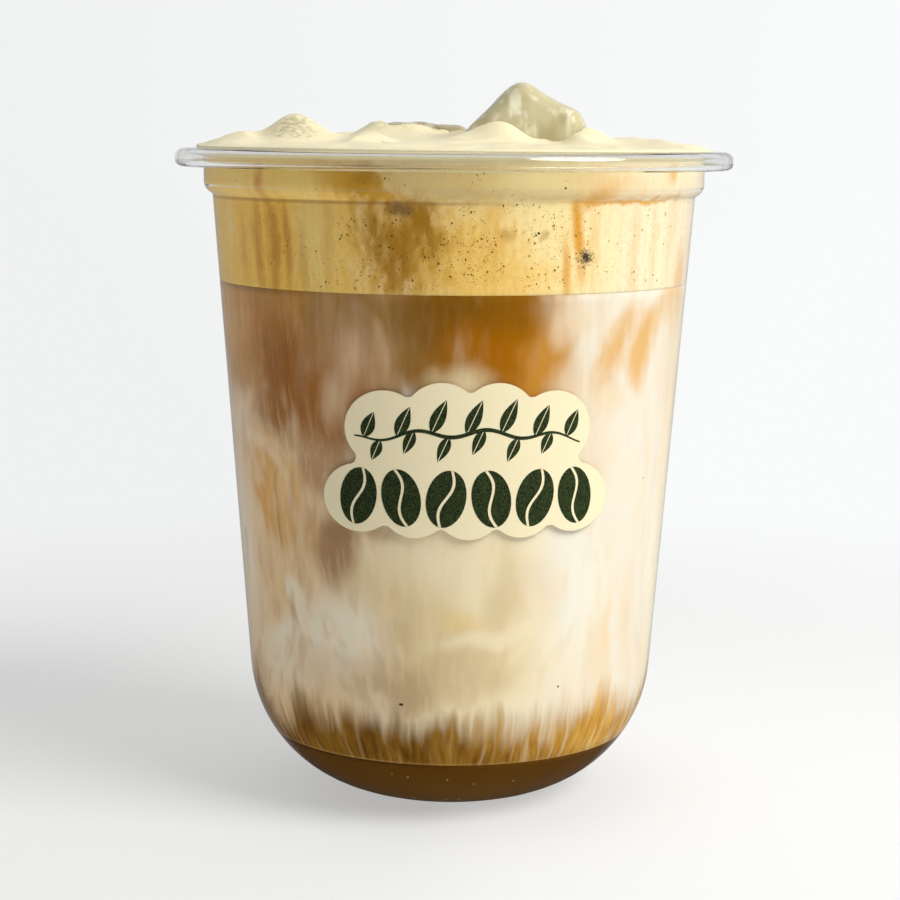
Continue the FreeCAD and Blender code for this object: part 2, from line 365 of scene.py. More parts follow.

# %% [markdown]
# ## How milk marbles coffee
# Cold milk poured on coffee sinks in slow plumes, and is drawn out to wisps between them. A
# plain noise gives clouds with no story. Here some dozens of plumes are laid one by one on the
# unrolled wall, each with a place, a size, a lean and a tone. Before that, two currents push
# the coordinates about, a slow one and a quick one, and a third field shifts the edge of every
# plume, so none keeps the outline of an ellipse. Finer wisps come from noise drawn out upright.

# %% the unrolled wall
WALL_MM = 40.0  # radius that angles are unrolled at
CURRENTS = (  # size in mm, how much longer than wide, push in mm
    (16.0, 1.6, (8.0, 8.0, 11.0)),
    (6.0, 1.7, (2.8, 2.8, 4.6)),
)
EDGE_MM = 4.6  # the field that shifts edges
EDGE_LENGTH = 1.7
THREAD_MM = 1.1  # fine threads of coffee
THREAD_LENGTH = 9.0


def wall_place(tree, currents=CURRENTS):
    """Two outputs: the place in mm after the currents, and it unrolled to arc and height."""
    place = node(tree, "TexCoord").outputs["Object"]
    place = node(tree, "VectorMath", {0: place, "Scale": 1 / MM}, operation="SCALE")
    for size, length, push in currents:
        squeezed = node(tree, "VectorMath", [place, (1, 1, 1 / length)], operation="MULTIPLY")
        swirl = node(tree, "TexNoise", {"Vector": squeezed, "Scale": 1 / size, "Detail": 1.5})
        level = node(
            tree, "VectorMath", [swirl.outputs["Color"], (0.5, 0.5, 0.5)], operation="SUBTRACT"
        )
        place = node(tree, "VectorMath", [level, push, place], operation="MULTIPLY_ADD")
    axes = node(tree, "SeparateXYZ", [place])
    # The back of the cup is a loose mirror of its front, which the currents then change.
    depth = node(tree, "Math", [axes.outputs["Y"]], operation="ABSOLUTE")
    turn = node(tree, "Math", [axes.outputs["X"], depth], operation="ARCTAN2")
    around = node(tree, "CombineXYZ", {"X": turn, "Y": axes.outputs["Z"]})
    flat = node(tree, "Mapping", {"Vector": around, "Scale": (WALL_MM, 1, 1)})
    return place, flat


def stretched(tree, place, wide, length, detail=2.0, aside=0.0):
    """A noise drawn out upright, with its middle values spread over 0 to 1."""
    drawn = node(
        tree,
        "VectorMath",
        [place, (1, 1, 1 / length), (aside, 2 * aside, aside)],
        operation="MULTIPLY_ADD",
    )
    raw = node(tree, "TexNoise", {"Vector": drawn, "Scale": 1 / wide, "Detail": detail})
    return node(tree, "MapRange", [raw, 0.3, 0.7])


def wisps(tree, place, wide, length, aside, share):
    """Soft upright wisps where a noise is high."""
    flow = stretched(tree, place, wide, length, 2.0, aside)
    return node(tree, "MapRange", [flow, 0.5, 1.0, 0.0, share], **SMOOTH)


FAR = 3.0  # a plume's field reaches this many times its own half size


def pour(tree, flat, edges, ground, plume):
    """Lays one plume over the colour that is there. The edge field pushes its outline about.

    A row may leave out its lean, which is then the sum of nothing, an upright plume.
    """
    angle, height, wide, tall, colour, strength, soft, ragged, *lean = plume
    own = node(
        tree,
        "Mapping",
        {
            "Vector": flat,
            "Location": (math.radians(angle) * WALL_MM, height, 0),
            "Rotation": (0, 0, math.radians(sum(lean))),
            "Scale": (FAR * wide, FAR * tall, 1),
        },
        vector_type="TEXTURE",
    )
    near = node(tree, "TexGradient", {"Vector": own}, gradient_type="SPHERICAL")
    pushed = node(tree, "Math", [edges, -ragged / FAR, near.outputs["Fac"]], operation="MULTIPLY_ADD")
    cover = node(
        tree,
        "MapRange",
        [pushed, 1 - (1 + soft + ragged / 2) / FAR, 1 - (1 - soft + ragged / 2) / FAR, 0.0, strength],
        **SMOOTH,
    )
    return blend_colours(tree, cover, ground, TONES[colour])


# %% [markdown]
# ## The milk coffee
# Coffee is brown where it is thick, amber where light comes through, and a dusky rose-grey
# where a little milk clouds it. Milk is never white in it, but cream or peach. At its foot the
# syrup climbs in fingers, with milk running down between them.

# %% tones of milk, coffee and cream
TONES = {
    "milk": "#EFE6D6",
    "white_milk": "#F3EFE3",
    "milk_painted_glare": "#FFEFD8",
    "warm_milk": "#F9EAC6",
    "milk_painted_glow": "#FFF3DA",
    "pale_milk": "#FFF6DE",
    "straw": "#EBD5A8",
    "shade_straw": "#DDC599",
    "beige": "#C9AC85",
    "blush": "#FFE2BE",
    "peach": "#F5D3A5",
    "peach_milk": "#EFDCBE",
    "rose": "#EACAA2",
    "dull_rose": "#CCA27A",
    "dark_rose": "#AF8861",
    "tan": "#F8CA87",
    "caramel": "#E8AE62",
    "apricot": "#E5B878",
    "hazel": "#CC9550",
    "gold": "#E3AF66",
    "copper": "#AE7338",
    "dusk": "#C3A57C",
    "taupe": "#AE8A57",
    "umber": "#82560A",
    "brown": "#9A6C2A",
    "amber": "#A96800",
    "light_amber": "#C88B34",
    "butter": "#FFD05C",
    "custard": "#FFDF8C",
    "banana": "#FCD274",
    "ripe": "#FFEAAE",
    "resin": "#D19D28",
    "dark_resin": "#AC7C10",
    "honey": "#EDBA66",
    "streak": "#D08A2C",
    "orange_honey": "#E2A63C",
    "shoulder": "#DCC284",
    "pale_shoulder": "#EBD79E",
    "step_shade_mark": "#86643A",
}

FRINGE = {  # where syrup and milk meet
    "thread": "#A0784A",
    "dark": "#5E3800",
    "brown": "#A07222",
    # amber, gold and the lit drip are painted light on the side of the key; the dim drip is painted
    # shade away from it.
    "amber": "#A86C12",
    "gold": "#F0BE5E",
    "dim_drip": "#B89262",
    "lit_drip": "#F6E2BA",
    "settled": "#C9A566",
}

# %% plumes of milk and coffee
# angle from the front in degrees and height in mm, half width and half height in mm, tone,
# strength, softness of its edge, how far the edge field pushes its outline, and lean in degrees
LATTE_PLUMES = (
    # Milk painted whiter down the lit right edge: partly milk, partly painted glare.
    (82, 50, 8, 60, "milk_painted_glare", 1, 0.5, 0.2),
    (-52, 40, 29, 36, "peach", 1, 0.4, 0.3),
    (-78, 45, 10, 26, "blush", 1, 0.6, 0.3),
    (3, 36, 24, 22, "warm_milk", 1, 0.45, 0.2),
    (-5, 35, 15, 13, "straw", 1, 0.5, 0.4),
    (-40, 87, 45, 13, "hazel", 1, 0.25, 0.25),
    (-62, 77, 12, 7, "hazel", 0.9, 0.6, 0.4),
    (-73, 86, 8, 10, "gold", 0.9, 0.7, 0.3),
    (-66, 68, 6, 4, "blush", 0.7, 0.7, 0.5),
    (-48, 80, 2.2, 7, "copper", 0.6, 0.8, 0.6),
    (-21, 80, 7, 8, "dusk", 0.9, 0.7, 0.7),
    (-14, 83, 6, 7, "taupe", 0.9, 0.6, 0.5),
    (-27, 77, 1.6, 6, "rose", 0.6, 0.9, 0.8, -4),
    (-22, 73, 6, 3.5, "dusk", 0.8, 0.7, 0.6),
    (-7, 79, 7, 5.5, "brown", 0.95, 0.6, 0.5),
    (-15, 80, 5, 7, "brown", 0.5, 0.7, 0.5),
    (-5, 84, 8, 4, "umber", 1, 0.6, 0.5),
    (4, 86.5, 12, 4.2, "umber", 1, 0.5, 0.3),
    (-6, 84, 6, 4, "umber", 0.8, 0.7, 0.5),
    (10, 82, 9, 6, "amber", 1, 0.6, 0.5),
    (14, 77, 5.5, 6.5, "amber", 1, 0.6, 0.4, 8),
    (24, 79, 5, 7.5, "light_amber", 1, 0.5, 0.4, 14),
    (20, 74, 5, 3.5, "light_amber", 0.9, 0.7, 0.4, 20),
    (2, 74, 5, 2.6, "straw", 0.85, 0.8, 0.5),
    (31, 74, 4, 6, "peach_milk", 0.8, 0.8, 0.3),
    (43, 80, 3.2, 7, "apricot", 0.95, 0.8, 0.7, -16),
    (48, 85, 5, 2.6, "apricot", 0.5, 0.9, 0.7),
    (54, 79, 3.4, 7, "apricot", 1, 0.8, 0.7, -24),
    (67, 86, 4.5, 3.4, "apricot", 1, 0.8, 0.4, -20),
    (68, 79, 4, 8, "peach_milk", 0.8, 0.8, 0.4),
    (41, 70, 4, 2.4, "peach_milk", 0.9, 0.9, 0.4, -20),
    (54, 72, 2.4, 3.4, "apricot", 0.5, 0.9, 0.6, -20),
    (77, 68, 3, 8, "peach", 0.6, 0.9, 0.4),
    (-59, 66, 5, 3, "rose", 0.7, 0.8, 0.5, 10),
    (-42, 75, 9, 7.5, "copper", 1, 0.6, 0.4, 5),
    (-36, 69, 7, 7, "copper", 1, 0.7, 0.4),
    (-29, 66, 4, 7, "dark_rose", 0.8, 0.7, 0.5, -8),
    (-45, 70, 6, 5, "copper", 0.9, 0.6, 0.4),
    (-19, 84, 9, 5.5, "taupe", 0.9, 0.7, 0.3),
    (-17, 84.5, 7, 4, "brown", 0.5, 0.7, 0.3),
    (-5, 85, 6, 4, "umber", 0.6, 0.7, 0.3),
    (7, 86, 7, 3.5, "umber", 0.7, 0.7, 0.3),
    (-45, 67, 1.4, 2.8, "rose", 0.7, 0.9, 0.4, -10),
    (-26, 73, 7, 9, "dull_rose", 0.85, 0.7, 0.4),
    (-34, 70, 8, 6, "copper", 1, 0.6, 0.3),
    (-46, 69, 6, 5, "copper", 0.85, 0.7, 0.3),
    (-28, 71, 1.8, 3.4, "blush", 0.5, 0.8, 0.5),
    (-25.5, 78, 1.2, 4.4, "blush", 0.4, 0.9, 0.5, -8),
    (-19, 80, 1.2, 3.6, "rose", 0.4, 0.9, 0.5, 8),
    (-42, 66.5, 1.6, 3.4, "blush", 0.6, 0.9, 0.5, -10),
    (-43, 57, 8, 6, "rose", 0.8, 0.7, 0.4),
    (-35, 60, 4.5, 7, "dull_rose", 1, 0.7, 0.4, 12),
    (-56, 55, 4, 7.5, "caramel", 1, 0.5, 0.4, 2),
    (-46, 54, 4.5, 6.5, "tan", 0.9, 0.6, 0.4, 12),
    (-47, 49, 4.5, 4.5, "apricot", 0.85, 0.7, 0.5),
    (-50, 52, 0.9, 6, "hazel", 0.7, 0.8, 0.4, 4),
    (-42, 51, 0.9, 6, "hazel", 0.5, 0.8, 0.4, 10),
    (-61, 63.6, 5, 0.9, "blush", 0.75, 0.9, 0.2, -10),
    (-50.5, 59.2, 4.6, 0.9, "blush", 0.75, 0.9, 0.2, -40),
    (-43.5, 53.2, 0.9, 4, "blush", 0.7, 0.9, 0.2, 24),
    (-34, 48, 4.5, 5, "rose", 0.8, 0.7, 0.4),
    (-29, 46, 3.4, 5.6, "dark_rose", 0.95, 0.5, 0.2, -24),
    (-36, 48, 1.2, 4, "hazel", 0.5, 0.8, 0.3),
    (-20, 51, 4, 2, "beige", 0.8, 0.8, 0.3),
    (-56, 45, 6, 2.6, "peach", 0.8, 0.8, 0.5),
    # The white plumes on the shaded left are milk painted brighter, a painted glow of light shining
    # through the drink.
    (-31, 32.5, 10, 6.4, "milk_painted_glow", 1, 0.4, 0.2, -8),
    (-44.5, 38.6, 3.8, 1.8, "milk_painted_glow", 0.95, 0.5, 0.2, -38),
    (-48, 25, 9, 3.6, "milk_painted_glow", 0.7, 0.8, 0.4),
    (-54, 33.2, 4.4, 1.3, "blush", 0.9, 0.7, 0.2, -38),
    (-38, 31, 5.5, 5, "milk_painted_glow", 0.9, 0.6, 0.3),
    (-45, 33.5, 1.1, 4.8, "dull_rose", 0.85, 0.6, 0.2, 8),
    (-56, 29, 1.6, 2.2, "dull_rose", 0.8, 0.8, 0.3, 30),
    (-57, 36, 3.4, 6, "peach", 0.8, 0.8, 0.6),
    (-64, 31, 2.6, 7, "rose", 0.7, 0.8, 0.6),
    (-38, 27, 5, 3, "rose", 0.6, 0.8, 0.6),
    (0, 46, 9, 4, "warm_milk", 0.9, 0.8, 0.4),
    (8, 44, 2.8, 5.5, "warm_milk", 0.9, 0.7, 0.2),
    (5.5, 38, 4.2, 1.7, "banana", 0.28, 0.8, 0.2, -6),
    (15, 43, 2.6, 5, "shade_straw", 0.6, 0.8, 0.3, -10),
    (11, 35, 8.5, 1.5, "warm_milk", 0.95, 0.7, 0.2, 8),
    (3, 31, 5, 2.2, "shade_straw", 0.6, 0.8, 0.4),
    (22, 44.5, 2.6, 2.2, "peach_milk", 0.7, 0.9, 0.3),
    (-11, 37, 2.6, 7, "shade_straw", 0.35, 0.9, 0.6, -8),
    (33, 42, 6, 12, "white_milk", 0.9, 0.9, 0.3),
    (0, 28, 14, 3.4, "shade_straw", 0.8, 0.8, 0.6),
    (-15, 25, 7, 4.4, "beige", 0.85, 0.8, 0.6),
    (45, 27, 3, 8, "peach_milk", 0.9, 0.9, 0.5),
    (57, 31, 2.2, 12, "peach_milk", 0.7, 0.9, 0.5),
    (68, 27, 3, 9, "peach_milk", 0.9, 0.9, 0.5),
    (38, 61, 3, 6, "peach_milk", 0.6, 0.9, 0.4),
    (57, 60, 1.2, 9, "peach_milk", 0.6, 0.9, 0.3),
    (70, 63, 1.6, 9, "peach", 0.6, 0.9, 0.3),
    (48, 33, 1, 6, "peach", 0.5, 0.9, 0.3),
    (24, 41, 4, 4, "peach_milk", 0.5, 0.9, 0.3),
    (30, 86, 6, 3, "peach_milk", 0.8, 0.8, 0.4),
    (75, 40, 5, 30, "pale_milk", 0.8, 0.8, 0.3),
    # Two more white plumes on the shaded left, painted brighter as light shining through the drink.
    (-72, 45, 4, 8, "milk_painted_glow", 0.8, 0.8, 0.4),
    (-52, 30.5, 8, 4.4, "milk_painted_glow", 0.85, 0.7, 0.3),
    (-73, 17, 11, 6.5, "brown", 0.95, 0.6, 0.4),
)


def drink_shader(shader):
    """A liquid behind plastic has no shine of its own, because both bend light alike."""
    shader.inputs["Roughness"].default_value = 0.5
    shader.inputs["Specular IOR Level"].default_value = 0.0


latte_finish, tree, shader = new_material("milk_coffee")
drink_shader(shader)
place, flat = wall_place(tree)
edges = stretched(tree, place, EDGE_MM, EDGE_LENGTH)
colour = TONES["milk"]
for plume in LATTE_PLUMES:
    colour = pour(tree, flat, edges, colour, plume)

# Wisps are finer than any plume. They show most on the left, in the shade.
axes = node(tree, "SeparateXYZ", [flat])
shaded = node(tree, "MapRange", [axes.outputs["X"], -30.0, 8.0, 1.0, 0.3])
low = node(tree, "MapRange", [axes.outputs["Y"], 60.0, 74.0, 1.0, 0.2])
wispy = node(tree, "Math", [low, shaded], operation="MULTIPLY")
for wide, length, aside, tone, share in (
    (2.4, 3.4, 5.0, "blush", 0.50),
    (2.8, 3.0, 17.0, "dull_rose", 0.35),
    (1.2, 5.0, 43.0, "blush", 0.25),
):
    strand = wisps(tree, place, wide, length, aside, share)
    strand = node(tree, "Math", [strand, wispy], operation="MULTIPLY")
    colour = blend_colours(tree, strand, colour, TONES[tone])
# Drips run straight down the wall, so their noise is laid on the unrolled side.
_, even = wall_place(tree, ((9.0, 1.0, (2.2, 2.2, 1.0)),))
even = node(tree, "SeparateXYZ", [even])
upright = node(tree, "CombineXYZ", {"X": even.outputs["X"], "Z": even.outputs["Y"]})
# Near the cream the coffee runs down in fine threads.
fine = stretched(tree, upright, THREAD_MM, THREAD_LENGTH, 2.0)
height = axes.outputs["Y"]
high = node(tree, "MapRange", [height, 55.0, 80.0, 0.02, 0.32])
veil = node(tree, "Math", [fine, high], operation="MULTIPLY")
veil = node(tree, "Math", [veil, shaded], operation="MULTIPLY")
colour = blend_colours(tree, veil, colour, FRINGE["thread"], blend_type="MULTIPLY")

# Fingers of syrup at the foot: the height they reach wanders with the angle. Towards both sides of
# the cup the syrup colour is painted higher, a painted shade that darkens the cup's lower edges.
slow = stretched(tree, upright, 9.0, 1.0, 0.0)
fingers = stretched(tree, upright, 1.9, 9.0, 1.0, 9.0)
hairs = stretched(tree, upright, 0.9, 7.0, 1.5, 3.0)
aside_mm = node(tree, "Math", [axes.outputs["X"]], operation="ABSOLUTE")
# Painted shade: the syrup colour climbs about 6 mm higher at the sides of the cup.
reach_up = node(tree, "MapRange", [aside_mm, 47.0, 56.0, 15.6, 21.6])
for part, tall in ((axes.outputs["X"], 0.024), (slow, 2.0), (fingers, 2.8), (hairs, 1.6)):
    reach_up = node(tree, "Math", [part, tall, reach_up], operation="MULTIPLY_ADD")
under = node(tree, "Math", [reach_up, height], operation="SUBTRACT")
finger = node(tree, "MapRange", [under, -3.8, 4.4], **SMOOTH)
# The fingers are painted amber and gold on the side of the key, a painted glow of light coming
# through them; away from it they keep the syrup's own dark brown.
painted_glow_side = node(tree, "MapRange", [axes.outputs["X"], -8.0, 34.0])
# Between the fingers thin drips of milk run right down to the syrup, painted dim away from the
# key and lit on its side.
drips = stretched(tree, upright, 1.5, 12.0, 1.0, 27.0)
drips = node(tree, "MapRange", [drips, 0.55, 1.0, 0.0, 0.5], **SMOOTH)
half_hairs = node(tree, "Math", [hairs, 0.5], operation="MULTIPLY")
mottle = node(tree, "Math", [edges, 0.5, half_hairs], operation="MULTIPLY_ADD")
dark_side = blend_colours(tree, mottle, FRINGE["dark"], FRINGE["brown"])
painted_lit_fingers = blend_colours(tree, mottle, FRINGE["amber"], FRINGE["gold"])
tone = blend_colours(tree, painted_glow_side, dark_side, painted_lit_fingers)
drips_lit_and_shaded = blend_colours(tree, painted_glow_side, FRINGE["dim_drip"], FRINGE["lit_drip"])
tone = blend_colours(tree, drips, tone, drips_lit_and_shaded)
colour = blend_colours(tree, finger, colour, tone)
# The last of the milk lies as a pale line on the heavy syrup.
true_height = node(tree, "SeparateXYZ", [node(tree, "TexCoord").outputs["Object"]]).outputs["Z"]
settled = [true_height, syrup_high.z + 0.25 * MM, syrup_high.z + 0.5 * MM, 0.25, 0.0]
settled = node(tree, "MapRange", settled)
colour = blend_colours(tree, settled, colour, FRINGE["settled"])
plug(tree, shader, {"Base Color": colour})

latte_line = [(0.0, latte_low.z)]
LATTE_ROWS = 60
for row in range(LATTE_ROWS + 1):
    height = latte_low.z + (latte_high.z - latte_low.z) * row / LATTE_ROWS
    latte_line.append((inside_radius(height) + INTO_WALL, height))
latte_line.append((0.0, latte_high.z))
latte = turned("milk_coffee", latte_line, latte_finish)
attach(latte, "root")
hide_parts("latte")
print("milk coffee:", len(LATTE_PLUMES), "plumes,", len(tree.nodes), "nodes")

# %% [markdown]
# ## The syrup
# Brown-sugar syrup is heavier than the drink and lies in the bowl of the cup. It is nearly black,
# and painted olive-brown towards its foot, a painted glow of the pale table shining through.

# %% brown sugar syrup
SYRUP_HEART = 0.024
SYRUP_ROWS = 40
syrup_finish, tree, shader = new_material("brown_sugar_syrup")
drink_shader(shader)
_, flat = wall_place(tree)
depth_mm = node(tree, "SeparateXYZ", [flat])
# Painted light: lighter towards the foot, for the table shining through the syrup.
foot_glow_fades = node(tree, "MapRange", [depth_mm.outputs["Y"], 1.0, 11.0])
tone = node(tree, "ValToRGB", [foot_glow_fades])
tone.color_ramp.elements[0].color = linear("#6B4A0C")
tone.color_ramp.elements[1].color = linear("#5E3A03")
plug(tree, shader, {"Base Color": tone})

foot_turn = math.pi / 2
syrup_line = [(0.0, inside_at(foot_turn, SYRUP_HEART).z)]
edge = math.atan2(SYRUP_HEART - syrup_high.z, inside_radius(syrup_high.z))
for row in range(1, SYRUP_ROWS):
    spot = inside_at(foot_turn + (edge - foot_turn) * row / SYRUP_ROWS, SYRUP_HEART)
    syrup_line.append((spot.x, spot.z))
syrup_line.append((inside_radius(syrup_high.z) + INTO_WALL, syrup_high.z))
syrup_line.append((0.0, syrup_high.z))
syrup = turned("brown_sugar_syrup", syrup_line, syrup_finish)
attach(syrup, "root")
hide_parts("syrup")
print("syrup:", round(syrup_high.z / MM, 1), "mm deep in the bowl")

# %% [markdown]
# ## The ice
# The cubes have lain in the drink for a while: their corners are round, their faces dimpled,
# and their insides cloudy with air. Each is a copy of its solid in the frame, made even with a
# voxel remesh and then worn by two sizes of noise.

# %% half-melted ice
ICE_VOXEL = 0.45 * MM
DIMPLE_MM = 4.5
DIMPLE_DEPTH = 0.35 * MM
PIT_MM = 1.3
PIT_DEPTH = 0.10 * MM


def cloudy_ice(name, clear_tone, cloud_tone, stain, wet):
    """Ice with pale clouds of air in upright wisps, and patches of coffee stain."""
    material, tree, shader = new_material(name)
    place = node(tree, "TexCoord").outputs["Object"]
    drawn = node(tree, "VectorMath", [place, (1, 1, 0.45)], operation="MULTIPLY")
    air = node(tree, "TexNoise", {"Vector": drawn, "Scale": 1 / (2.6 * MM), "Detail": 3.0})
    cloud = node(tree, "MapRange", [air, 0.50, 0.68], **SMOOTH)
    tone = blend_colours(tree, cloud, clear_tone, cloud_tone)
    patch = node(tree, "TexNoise", {"Vector": place, "Scale": 1 / (6 * MM), "Detail": 1.0})
    stained = node(tree, "MapRange", [patch, 0.5, 0.72, 0.0, 0.5])
    tone = blend_colours(tree, stained, tone, stain)
    melting = {"IOR": 1.31, "Roughness": 0.32, "Coat Weight": wet, "Coat Roughness": 0.08}
    milky = {"Subsurface Weight": 0.35, "Subsurface Radius": (2.5 * MM, 2.3 * MM, 1.8 * MM)}
    plug(tree, shader, {"Base Color": tone, **melting, **milky, "Subsurface Scale": 1.0})
    return material


def worn(name, material):
    """A half-melted copy of a cube in the frame."""
    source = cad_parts[name]
    copy = bpy.data.objects.new(name + "_worn", source.data.copy())
    bpy.context.scene.collection.objects.link(copy)
    remesh = copy.modifiers.new("even", "REMESH")
    remesh.mode = "VOXEL"
    remesh.voxel_size = ICE_VOXEL
    even = bpy.data.meshes.new_from_object(copy.evaluated_get(bpy.context.evaluated_depsgraph_get()))
    copy.modifiers.clear()
    copy.data = even
    for vertex in even.vertices:
        spot = vertex.co / MM
        tall = Vector((spot.x, spot.y, spot.z * 0.5))
        dimple = noise.noise(spot / DIMPLE_MM) * DIMPLE_DEPTH
        pit = noise.noise(tall / PIT_MM) * PIT_DEPTH
        vertex.co += vertex.normal * (dimple + pit)
    even.polygons.foreach_set("use_smooth", [True] * len(even.polygons))
    even.materials.clear()
    even.materials.append(material)
    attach(copy, "root")
    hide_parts(name)
    return copy


frosted = cloudy_ice("cloudy_ice", "#C9C19C", "#EFEBD4", "#B5A676", 0.4)
wet_ice = cloudy_ice("wet_ice", "#A89B74", "#D8D2B8", "#6E5A2C", 1.0)
ice = {
    "ice_right": worn("ice_right", frosted),
    "ice_middle": worn("ice_middle", wet_ice),
    "ice_left": worn("ice_left", wet_ice),
}
print("ice:", {name: len(cube.data.polygons) for name, cube in ice.items()}, "faces")

# %% [markdown]
# ## The cream
# Banana cream is whipped just stiff enough to hold a fold. Its side is pressed flat by the cup,
# and its top heaps over the ice. The side is read from the frame's cream with level rays, the
# top with rays from above on a fine round grid. Under the ice the grid is stretched like a
# skin, so the cubes rise out of one smooth surface, and the cream climbs a little up them.

# %% cream heap
CREAM_TURNS = 540
TOP_RINGS = 118
SIDE_STEP = 0.3 * MM
CLIMB = 0.9 * MM
CLIMB_REACH = 1.1 * MM
FOLD_MM = 7.0
RIPPLE_DEPTH = 0.07 * MM
RIPPLE_MM = 2.2
FILM_DEPTH = 2.0 * MM
FOLD_RISE = 0.45 * MM
LUMPS = (  # place, rise and radius in mm, of spoonfuls and hollows on the heap
    (-13.0, 13.0, 2.4, 5.0),
    (-36.0, -4.0, 0.9, 4.0),
    (-22.0, -4.0, 1.1, 4.0),
    (21.0, -13.0, 0.8, 2.4),
    (36.0, -10.0, 0.7, 5.0),
    (1.5, 4.0, 1.6, 3.6),
    (-15.0, -15.0, 1.0, 4.5),
    (-8.5, -17.0, -1.3, 3.4),
    (0.0, -20.0, 0.7, 5.0),
    (9.0, -17.0, 0.5, 3.0),
    (14.0, -20.0, -0.6, 3.0),
    (24.0, -9.0, 0.9, 2.6),
    (-36.0, -12.0, 0.6, 4.0),
    (33.0, -6.0, 0.5, 5.0),
    (20.0, 22.0, 1.6, 7.0),
    (-20.0, 26.0, 1.2, 6.0),
    (4.0, 34.0, 0.8, 5.0),
)
GREY_FILMS_AND_HOLLOW_SHADE = (  # place, radius in mm and strength of wet grey films on the heap
    (-26.5, -6.0, 5.0, 1.2),
    # This one paints grey shade into a hollow in front of the middle cube, with no ice under it.
    (-8.5, -17.0, 3.6, 2.0),
    (-4.0, 5.0, 5.0, 0.5),
)
settled_scene = bpy.context.evaluated_depsgraph_get()
cream_tree = BVHTree.FromObject(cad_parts["cream"], settled_scene)
ice_trees = [BVHTree.FromObject(cube, settled_scene) for cube in ice.values()]
CLEAR_SIDE = Vector((0, -1, 0))  # no ice lies against the wall here


def cream_side():
    """The line of the cream against the cup, from the coffee up to its widest point."""
    line = []
    height = cream_low.z
    while True:
        hit = cream_tree.ray_cast(CLEAR_SIDE * 0.1 + Vector((0, 0, height)), -CLEAR_SIDE)[0]
        if hit is None or (line and hit.xy.length < line[-1][0] - 0.3 * MM):
            return line
        line.append((hit.xy.length + INTO_WALL, height))
        height += SIDE_STEP


def top_heights(radii, turns):
    """The cream's top on the round grid, the skin stretched under the ice, and a mask of it."""
    heights = np.zeros((len(radii), len(turns)))
    iced = np.zeros_like(heights, dtype=bool)
    down = Vector((0, 0, -1))
    for i, radius in enumerate(radii):
        for j, turn in enumerate(turns):
            above = Vector((radius * math.cos(turn), radius * math.sin(turn), 0.2))
            hit = cream_tree.ray_cast(above, down)[0]
            heights[i, j] = hit.z if hit else cream_low.z
            ice_hits = [t.ray_cast(above, down)[0] for t in ice_trees]
            tops = [h.z for h in ice_hits if h]
            iced[i, j] = bool(tops) and max(tops) > heights[i, j] - 0.2 * MM
    return heights, iced


def stretch_skin(heights, iced, rounds=500):
    """Lets the grid under the ice settle to the mean of its neighbours."""
    for _ in range(rounds):
        out = np.vstack([heights[1:], heights[-1:]])
        inward = np.vstack([heights[:1], heights[:-1]])
        mean = (out + inward + np.roll(heights, 1, 1) + np.roll(heights, -1, 1)) / 4
        heights = np.where(iced, mean, heights)
    return heights


side = cream_side()
widest = side[-1][0]
turns = [TAU * j / CREAM_TURNS for j in range(CREAM_TURNS)]
radii = [(widest - 0.12 * MM) * (1 - i / TOP_RINGS) for i in range(TOP_RINGS)]
heights, iced = top_heights(radii, turns)
wide_mask = iced.copy()
for shift in (1, -1):
    wide_mask |= np.roll(iced, shift, 1)
    wide_mask |= np.roll(iced, shift, 0)
heights = stretch_skin(heights, wide_mask)
print("cream: widest", round(widest / MM, 2), "mm,", len(side), "rows,", int(iced.sum()), "spots iced")

# %% cream mesh
def swell(spot, x, y, wide):
    """A round swelling about a place in mm: 1 in its middle, and fading out."""
    return math.exp(-((spot.x / MM - x) ** 2 + (spot.y / MM - y) ** 2) / wide**2)


vertices = [(0, 0, cream_low.z)]
for radius, height in side:
    for turn in turns:
        vertices.append((radius * math.cos(turn), radius * math.sin(turn), height))
film = [0.0] * len(vertices)
for i, radius in enumerate(radii):
    calm = min(1.0, i / 6)
    for j, turn in enumerate(turns):
        spot = Vector((radius * math.cos(turn), radius * math.sin(turn), heights[i, j]))
        fold = noise.noise(spot / MM / FOLD_MM + Vector((3, 1, 7)))
        ripple = noise.noise(spot / MM / RIPPLE_MM + Vector((9, 4, 2)))
        rise = sum(high * swell(spot, x, y, wide) for x, y, high, wide in LUMPS)
        spot.z += calm * ((1 - 2 * abs(fold)) * FOLD_RISE + ripple * RIPPLE_DEPTH + rise * MM)
        near = min(t.find_nearest(spot)[3] for t in ice_trees)
        climb = CLIMB * math.exp(-((near / CLIMB_REACH) ** 2))
        spot.z += climb * (0.5 + 0.5 * noise.noise(spot / MM / 3))
        vertices.append(tuple(spot))
        # wet gathers the grey films on ice and the painted shade of the hollow.
        wet = [much * swell(spot, x, y, wide) for x, y, wide, much in GREY_FILMS_AND_HOLLOW_SHADE]
        film.append(max(math.exp(-near / FILM_DEPTH), *wet))
centre = len(vertices)
vertices.append((0, 0, float(heights[-1].mean())))
film.append(0.0)
faces = []
rows = len(side) + len(radii)
for j in range(CREAM_TURNS):
    after = (j + 1) % CREAM_TURNS
    faces.append((0, 1 + after, 1 + j))
    for row in range(rows - 1):
        low, high = 1 + row * CREAM_TURNS, 1 + (row + 1) * CREAM_TURNS
        faces.append((low + j, low + after, high + after, high + j))
    last = 1 + (rows - 1) * CREAM_TURNS
    faces.append((last + j, last + after, centre))

